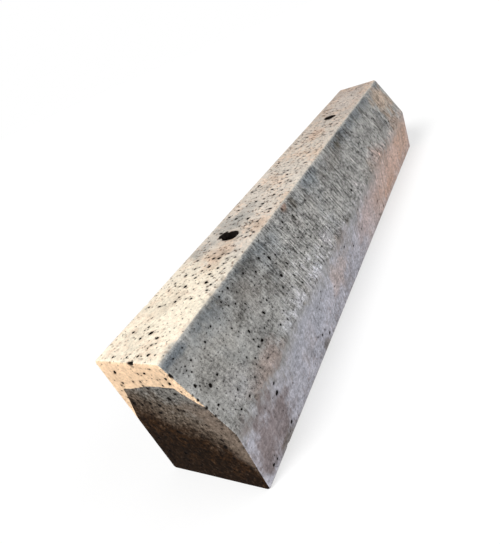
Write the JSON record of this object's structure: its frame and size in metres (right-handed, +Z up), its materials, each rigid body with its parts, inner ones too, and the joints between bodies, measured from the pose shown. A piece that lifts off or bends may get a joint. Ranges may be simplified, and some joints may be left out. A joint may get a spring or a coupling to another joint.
{
  "type": "concrete kerb stone",
  "caption": "Straight precast concrete kerb stone with a flat top, a bevelled front, square ends and upright pin holes; edges a road, path or parking bay.",
  "frame": {"origin": "middle of the base, on the ground", "axes": "+X along the stone, -Y out of the bevelled front face, +Z up"},
  "size_m": [1, 0.15, 0.2],
  "materials": {
    "concrete": "rough cast concrete with open air voids, pale cement skin on top and worn arrises"
  },
  "bodies": {
    "root": {"kerb_stone": "concrete"}
  },
  "joints": []
}
